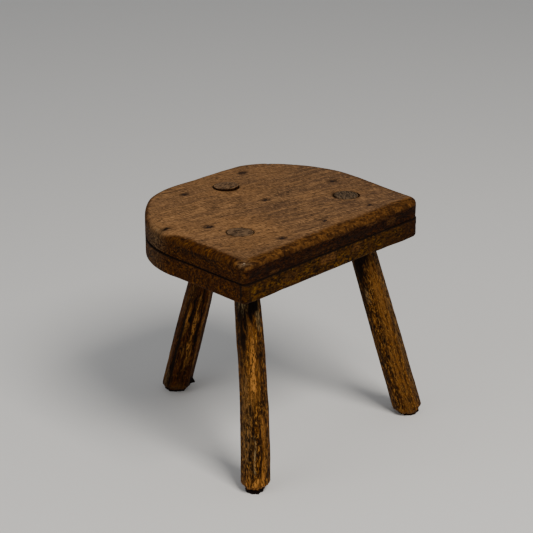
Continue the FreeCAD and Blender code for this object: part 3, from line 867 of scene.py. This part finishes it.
class Nodes:
    """A short way to write a material's nodes. Each call adds a node and returns its output."""

    def __init__(self, name):
        self.material = bpy.data.materials.new(name)
        self.material.use_nodes = True
        self.tree = self.material.node_tree
        self.shader = self.tree.nodes["Principled BSDF"]
        self.grain = self.add("ShaderNodeAttribute", attribute_name="grain", output="Vector")

    def put(self, value, socket):
        """Links an output to a socket, or gives it a plain value."""
        if isinstance(value, bpy.types.NodeSocket):
            self.tree.links.new(value, socket)
        else:
            socket.default_value = value

    def take(self, name, value):
        """Gives the shader an input."""
        self.put(value, self.shader.inputs[name])

    def add(self, kind, inputs=(), output=0, **settings):
        node = self.tree.nodes.new(kind)
        for key, value in settings.items():
            setattr(node, key, value)
        for key, value in dict(inputs).items():
            self.put(value, node.inputs[key])
        return node.outputs[output]

    def shares(self, *names):
        """The attributes that are shares from 0 to 1."""
        return [self.add("ShaderNodeAttribute", attribute_name=name, output="Fac") for name in names]

    def noise(self, sizes, detail=2.0, roughness=0.5, distortion=0.0):
        """Noise in the wood. The sizes are a bump's length along each axis of the grain, in mm."""
        scale = tuple(1 / (size * MM) for size in sizes)
        place = self.add("ShaderNodeVectorMath", {0: self.grain, 1: scale}, operation="MULTIPLY")
        names = ("Vector", "Scale", "Detail", "Roughness", "Distortion")
        return self.add("ShaderNodeTexNoise", zip(names, (place, 1.0, detail, roughness, distortion)))

    def math(self, operation, a, b=0.0, clamp=False):
        return self.add("ShaderNodeMath", {0: a, 1: b}, operation=operation, use_clamp=clamp)

    def step(self, value, low, high, to=1.0):
        """0 below low and to above high, with a soft step between."""
        inputs = {"Value": value, "From Min": low, "From Max": high, "To Max": to}
        return self.add("ShaderNodeMapRange", inputs, interpolation_type="SMOOTHSTEP")

    def mix(self, share, a, b, blend="MIX"):
        """The colour a, turned into b by a share. The sockets of a Mix node's colours are 6, 7 and 2."""
        return self.add("ShaderNodeMix", {0: share, 6: a, 7: b}, 2, data_type="RGBA", blend_type=blend)

    def times(self, a, b, clamp=False):
        return self.math("MULTIPLY", a, b, clamp)

    def coats(self, color, *coats):
        """A colour with coats of paint over it. Each coat is a noise, the values at which its paint starts
        and is full, how much it covers then, and its red, green and blue."""
        for value, low, high, cover, *paint in coats:
            color = self.mix(self.step(value, low, high, cover), color, rgb(*paint))
        return color

    def finish(self, color, rough, height, relief):
        """Gives the shader what it takes. rough is a noise and the roughness where it is 0 and where it is 1.
        relief is how deep the bumps of height are, in metres."""
        self.take("Base Color", color)
        inputs = dict(zip(("Value", "To Min", "To Max"), rough))
        self.take("Roughness", self.add("ShaderNodeMapRange", inputs))
        inputs = {"Height": height, "Distance": relief, "Strength": 1.0}
        self.take("Normal", self.add("ShaderNodeBump", inputs))
        self.take("Specular IOR Level", WORN_GLOSS)
        return self.material


def rgb(red, green, blue):
    """A colour given as it looks on a screen, from 0 to 255, as the linear colour that a shader takes."""
    parts = [c / 255 for c in (red, green, blue)]
    return (*[p / 12.92 if p < 0.04045 else ((p + 0.055) / 1.055) ** 2.4 for p in parts], 1.0)


def seat_wood():
    """Brown worn wood on top, darker where the edges are worn round, and nearly black on the sawn sides, with
    painted light and shade on the sides and a painted highlight on the front corner.
    """
    n = Nodes("seat_wood")
    edge, left, bare, dirt_and_shade = n.shares("edge", "left", "bare", "dirt_and_shade")
    film_and_highlight, rust, lower_side_light = n.shares("film_and_highlight", "rust", "lower_side_light")
    streaks = n.noise((24, 1.7, 3), 4, 0.7, 0.3)
    figure = n.noise((100, 8, 12), 3, 0.55, 0.6)
    pores = n.noise((6, 1.3, 1.5), 2, 0.5)
    ticks = n.noise((1.6, 5, 3), 3, 0.6)
    clouds = n.noise((80, 50, 30), 2, 0.5)
    along = n.add("ShaderNodeSeparateXYZ", {0: n.grain}, "X")
    top = n.coats(
        rgb(74, 53, 34),
        (streaks, 0.41, 0.59, 1, 142, 104, 67),
        (figure, 0.44, 0.6, 0.65, 80, 58, 41),
        (clouds, 0.4, 0.66, 0.5, 138, 98, 58),
        (along, 1.05, 0.88, 0.25, 140, 100, 62),
        (along, 0.92, 1.1, 0.3, 84, 62, 46),
        (ticks, 0.53, 0.64, 0.5, 66, 46, 29),
        (ticks, 0.46, 0.34, 0.45, 160, 120, 80),
        (pores, 0.57, 0.65, 0.8, 50, 35, 22),
    )

    mottle = n.noise((6, 3.4, 3.4), 4, 0.7)
    blotch = n.noise((20, 11, 11), 2, 0.55)
    flecks = n.noise((3.4, 2.1, 2.1), 3, 0.6)
    threads = n.noise((12, 4, 4), 4, 0.7)
    side = n.coats(
        rgb(32, 13, 1),
        (mottle, 0.41, 0.6, 1, 82, 46, 9),
        (flecks, 0.55, 0.66, 0.7, 114, 76, 26),
        (blotch, 0.44, 0.58, 0.6, 50, 24, 3),
        (flecks, 0.46, 0.38, 0.8, 11, 4, 0),
    )
    # Painted light and shade on the sides: the flat side is painted darker than the left side, to even out
    # how the lamps light them, and part of the lower board's flat side is painted lighter again.
    lit = n.coats(rgb(158, 144, 128), (left, 0.0, 1.0, 1, 255, 246, 200))
    lit = n.mix(lower_side_light, lit, rgb(238, 254, 188))
    side = n.mix(1.0, side, lit, "MULTIPLY")

    worn = n.coats(
        rgb(52, 29, 7),
        (threads, 0.4, 0.6, 1, 88, 55, 20),
        (flecks, 0.55, 0.64, 0.6, 118, 78, 34),
        (flecks, 0.47, 0.38, 0.7, 28, 12, 3),
    )
    worn = n.mix(n.times(left, 0.75), worn, side)
    uneven = n.math("ADD", edge, n.times(n.math("SUBTRACT", mottle, 0.5), 0.36))
    color = n.mix(n.step(uneven, 0.03, 0.25), top, worn)
    color = n.mix(n.step(uneven, 0.42, 0.62), color, side)
    laid_bare = n.coats(rgb(50, 27, 6), (flecks, 0.38, 0.62, 1, 92, 60, 26))
    color = n.mix(n.times(bare, n.step(blotch, 0.25, 0.5)), color, laid_bare)
    # Grey film, and on top of the front corner a near-white painted highlight.
    polish_and_highlight = n.coats(rgb(124, 100, 70), (film_and_highlight, 0.7, 0.95, 1, 214, 192, 164))
    bloom_and_highlight = n.mix(n.step(flecks, 0.4, 0.58), rgb(66, 48, 30), polish_and_highlight)
    color = n.mix(n.times(film_and_highlight, n.step(mottle, 0.35, 0.6)), color, bloom_and_highlight)
    # Grime, and painted shade in the gaps round the tenons, in near black.
    grime = n.times(dirt_and_shade, n.step(mottle, 0.75, 0.45), clamp=True)
    color = n.mix(n.math("MAXIMUM", grime, n.step(dirt_and_shade, 0.55, 0.95)), color, rgb(20, 11, 6))
    rusty = n.times(rust, n.step(flecks, 0.25, 0.5), clamp=True)
    color = n.mix(rusty, color, rgb(30, 19, 13))

    height = n.math("ADD", n.times(streaks, 0.5), n.times(pores, -0.5))
    height = n.math("ADD", height, n.times(flecks, n.step(edge, 0.1, 0.6)))
    return n.finish(color, (streaks, 0.6, 0.8), height, relief=0.7 * MM)


def leg_wood():
    """Amber and orange wood showing through black grime along the grain, with painted black shadow under the
    seat and at the foot.
    """
    n = Nodes("leg_wood")
    bare, dirt_and_shade, film_and_highlight = n.shares("bare", "dirt_and_shade", "film_and_highlight")
    stain, end, shade = n.shares("stain", "end", "shade")
    dashes = n.noise((8.5, 2.2, 2.2), 5, 0.75, 0.4)
    fibres = n.noise((30, 2.8, 2.8), 5, 0.7, 0.3)
    flecks = n.noise((4.4, 1.5, 1.5), 3, 0.65)
    bands = n.noise((50, 8, 8), 3, 0.55, 0.5)
    wood = n.coats(
        rgb(28, 12, 1),
        (dashes, 0.46, 0.54, 1, 102, 60, 14),
        (fibres, 0.5, 0.62, 0.45, 54, 30, 6),
        (bands, 0.42, 0.62, 0.35, 70, 46, 14),
        (flecks, 0.55, 0.6, 0.95, 148, 102, 44),
        (flecks, 0.46, 0.4, 0.9, 16, 6, 1),
    )
    laid_bare = n.coats(
        rgb(98, 56, 14),
        (fibres, 0.4, 0.58, 1, 174, 118, 54),
        (flecks, 0.515, 0.56, 1, 30, 13, 2),
        (dashes, 0.54, 0.62, 0.7, 56, 30, 7),
    )
    color = n.mix(n.times(bare, n.step(dashes, 0.3, 0.52)), wood, laid_bare)
    stained = n.coats(
        rgb(26, 8, 1),
        (fibres, 0.42, 0.6, 1, 76, 37, 6),
        (flecks, 0.54, 0.64, 0.5, 112, 66, 20),
    )
    worn_through = n.math("SUBTRACT", stain, n.step(bare, 0.1, 0.6), clamp=True)
    color = n.mix(worn_through, color, stained)
    bloom_and_highlight = n.coats(rgb(46, 34, 16), (dashes, 0.42, 0.58, 1, 134, 112, 76))
    color = n.mix(n.times(film_and_highlight, n.step(dashes, 0.3, 0.55)), color, bloom_and_highlight)
    # Grime, and painted shadow under the seat and at the foot, in near black.
    grime = n.times(dirt_and_shade, n.step(dashes, 0.72, 0.46), clamp=True)
    color = n.mix(n.math("MAXIMUM", grime, n.step(dirt_and_shade, 0.6, 1.0)), color, rgb(17, 7, 3))

    rays = n.noise((6, 2.2, 7.5), 5, 0.75, 0.5)
    cut = n.coats(rgb(34, 26, 19), (rays, 0.4, 0.6, 1, 92, 75, 56))
    pale_cut = n.coats(rgb(56, 40, 25), (rays, 0.4, 0.6, 1, 132, 100, 70))
    cut = n.mix(shade, cut, pale_cut)
    # Painted shadow: where the sole is painted black, its end grain turns near black too.
    cut = n.mix(n.step(dirt_and_shade, 0.5, 1.0), cut, rgb(12, 7, 4))
    color = n.mix(end, color, cut)
    height = n.math("ADD", n.times(dashes, 0.8), n.times(flecks, -0.6))
    return n.finish(color, (bands, 0.5, 0.75), height, relief=1.2 * MM)


def nail_iron():
    """Black iron with brown rust in its hollows."""
    n = Nodes("nail_iron")
    scale = n.noise((1.2, 1.2, 1.2), 4, 0.65)
    color = n.coats(rgb(30, 26, 24), (scale, 0.4, 0.65, 1, 62, 40, 28))
    n.take("Metallic", 0.4)
    return n.finish(color, (scale, 0.5, 0.85), scale, relief=0.2 * MM)


def pale_floor():
    n = Nodes("pale_floor")
    n.take("Base Color", (0.78, 0.77, 0.75, 1))
    n.take("Roughness", 0.8)
    return n.material


# ---- studio ----

CAMERA_PLACE = Vector((-1.0598, -1.0570, 0.8116))
CAMERA_LOOK = Vector((0.6575, 0.6461, -0.3875))
# In mm, as on a real camera.
CAMERA_LENS, CAMERA_SENSOR = 101.3, 36
# What both lights face: the middle of the stool.
LIT_PLACE = Vector((0, 0, 0.15))


def add_camera():
    data = bpy.data.cameras.new("camera")
    data.sensor_width = CAMERA_SENSOR
    data.lens = CAMERA_LENS
    camera = linked("camera", data)
    camera.location = CAMERA_PLACE
    camera.rotation_euler = CAMERA_LOOK.to_track_quat("-Z", "Y").to_euler()
    bpy.context.scene.camera = camera


def add_light(name, place, size, power, tint=(1, 1, 1)):
    """A square soft light that faces the stool."""
    data = bpy.data.lights.new(name, "AREA")
    data.size, data.energy, data.color = size, power, tint
    light = linked(name, data)
    light.location = place
    light.rotation_euler = (LIT_PLACE - Vector(place)).to_track_quat("-Z", "Y").to_euler()


def add_studio():
    world = bpy.data.worlds.new("studio")
    world.use_nodes = True
    background = world.node_tree.nodes["Background"]
    background.inputs["Color"].default_value = (0.95, 0.97, 1.0, 1)
    background.inputs["Strength"].default_value = 0.30
    bpy.context.scene.world = world
    add_light("key", (-0.3, -1.5, 2.0), 0.9, 49, (1.0, 0.96, 0.9))
    add_light("fill", (-1.8, 0.4, 1.2), 1.5, 8)
    bpy.ops.mesh.primitive_plane_add(size=14)
    floor = bpy.context.object
    floor.name = "floor"
    floor.data.materials.append(pale_floor())


# ---- assemble ----

def assemble():
    """Makes every piece and gives it its body, its material slot and the CAD node that it replaces."""
    seat, leg, iron = seat_wood(), leg_wood(), nail_iron()
    pieces = [(make_upper_board(seat), BOARDS[0], "seat_wood")]
    pieces += [(make_lower_board(seat), BOARDS[1], "seat_wood")]
    pieces += [(make_leg(node, leg), node, "leg_wood") for node in LEGS]
    pieces += [(make_nail(node, iron), node, "nail_iron") for node in NAILS]
    for piece, node, slot in pieces:
        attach(piece, "root")
        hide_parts(node)


add_camera()
add_studio()
assemble()
bpy.context.view_layer.update()
